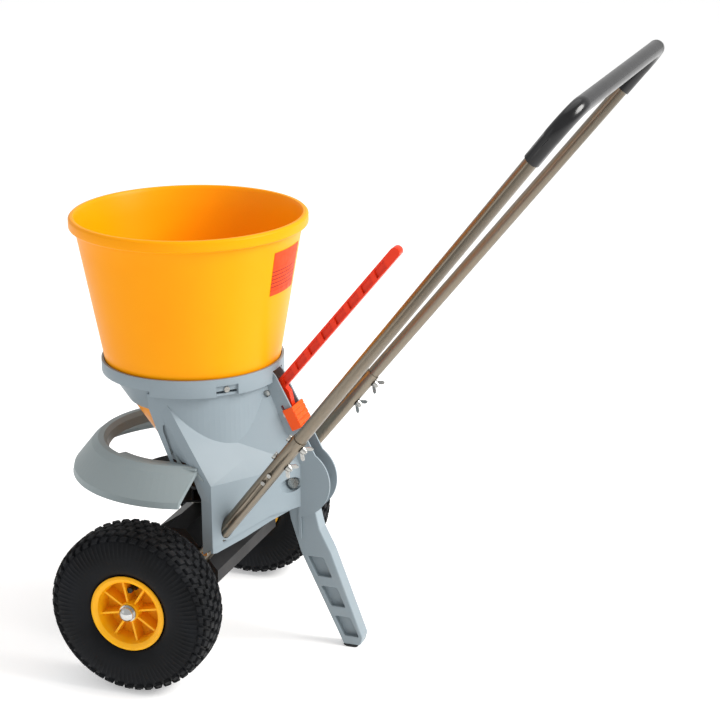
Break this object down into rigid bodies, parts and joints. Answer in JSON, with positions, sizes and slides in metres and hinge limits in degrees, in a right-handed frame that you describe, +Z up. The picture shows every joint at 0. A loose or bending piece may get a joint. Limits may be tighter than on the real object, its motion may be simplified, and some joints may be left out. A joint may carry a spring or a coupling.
{
  "type": "walk-behind broadcast spreader",
  "caption": "Walk-behind spreader: tapered round hopper on a moulded frame, ground-driven spinner under a deflector skirt, tyred wheels, bow handle and folding stand.",
  "frame": {"origin": "centre of the bounding box in plan, at floor level, with both tyres and the stand leg on the floor", "axes": "+Z up, +X to the rear where the handle is, +Y to the right-hand side of the machine seen by the person pushing it"},
  "size_m": [0.8696, 0.562, 0.941],
  "materials": {
    "amber_plastic": "injection-moulded polyethylene, semi-gloss",
    "grey_plastic": "moulded plastic, fine satin texture",
    "skirt_plastic": "moulded plastic, satin",
    "black_plastic": "glass-filled plastic",
    "label": "printed film, plain panel",
    "red_plastic": "moulded plastic, semi-gloss",
    "orange_plastic": "moulded plastic, semi-gloss",
    "tyre": "black rubber, block tread",
    "black_rubber": "smooth black rubber",
    "tube_steel": "drawn stainless tube, faint long polish marks",
    "gear_steel": "sintered steel, oiled",
    "nylon": "natural nylon",
    "chrome": "bright plated",
    "zinc": "bright zinc plate"
  },
  "bodies": {
    "machine": {"hopper": "amber_plastic", "hopper_label": "label", "hopper_ring": "grey_plastic", "ring_screws": "zinc", "frame_left": "grey_plastic", "frame_right": "grey_plastic", "frame_screws": "zinc", "deflector_skirt": "skirt_plastic", "skirt_screws": "zinc", "outlet_plate": "black_plastic", "outlet_screws": "zinc", "shaft_bush_upper": "nylon", "shaft_bush_lower": "nylon", "gear_case_left": "black_plastic", "gear_case_right": "black_plastic", "gear_case_screws": "zinc", "axle_bushes": "nylon", "lower_tube_left": "tube_steel", "lower_tube_right": "tube_steel", "handle_tube": "tube_steel", "grip_sleeve": "black_rubber", "tube_bolts": "zinc", "wing_nuts": "zinc", "tube_rivets": "zinc", "tube_screws": "zinc", "lever_pin": "zinc", "leg_bolt": "zinc", "cheek_screws": "zinc"},
    "wheel_left": {"tyre_left": "tyre", "rim_left": "amber_plastic", "valve_left": "black_rubber"},
    "drive": {"tyre_right": "tyre", "rim_right": "amber_plastic", "valve_right": "black_rubber", "axle": "tube_steel", "crown_gear": "gear_steel", "hub_nuts": "chrome", "axle_washers": "zinc"},
    "spinner": {"spinner_disc": "black_plastic", "disc_clamp_nut": "zinc", "spinner_shaft": "tube_steel", "agitator": "tube_steel", "drive_pinion": "gear_steel"},
    "lever": {"dosing_lever": "red_plastic"},
    "gate": {"dosing_gate": "tube_steel", "gate_link": "tube_steel"},
    "stop": {"stop_block": "orange_plastic"},
    "stand": {"stand_leg": "grey_plastic", "leg_sole": "black_plastic"}
  },
  "joints": [
    {"name": "wheel_left_spin", "type": "hinge", "parent": "machine", "child": "wheel_left", "pos_m": [-0.24071, -0.233, 0.13], "axis": [0, 1, 0], "continuous": true},
    {"name": "drive_spin", "type": "hinge", "parent": "machine", "child": "drive", "pos_m": [-0.24071, 0, 0.13], "axis": [0, 1, 0], "continuous": true},
    {"name": "spinner_spin", "type": "hinge", "parent": "machine", "child": "spinner", "pos_m": [-0.24071, 0, 0.25], "axis": [0, 0, 1], "continuous": true},
    {"name": "lever_hinge", "type": "hinge", "parent": "machine", "child": "lever", "pos_m": [-0.08071, 0, 0.378], "axis": [0, 1, 0], "range_deg": [-4, 12]},
    {"name": "gate_slide", "type": "slide", "parent": "machine", "child": "gate", "axis": [1, 0, 0], "range_m": [-0.0178, 0.006]},
    {"name": "stop_slide", "type": "slide", "parent": "machine", "child": "stop", "axis": [0.454, 0, -0.891], "range_m": [0, 0.04]},
    {"name": "stand_fold", "type": "hinge", "parent": "machine", "child": "stand", "pos_m": [-0.06771, 0, 0.27], "axis": [0, 1, 0], "range_deg": [-78, 0]}
  ],
  "couplings": [
    {"joint": "spinner_spin", "follows": "drive_spin", "ratio": -4},
    {"joint": "gate_slide", "follows": "lever_hinge", "m_per_rad": -0.084}
  ]
}
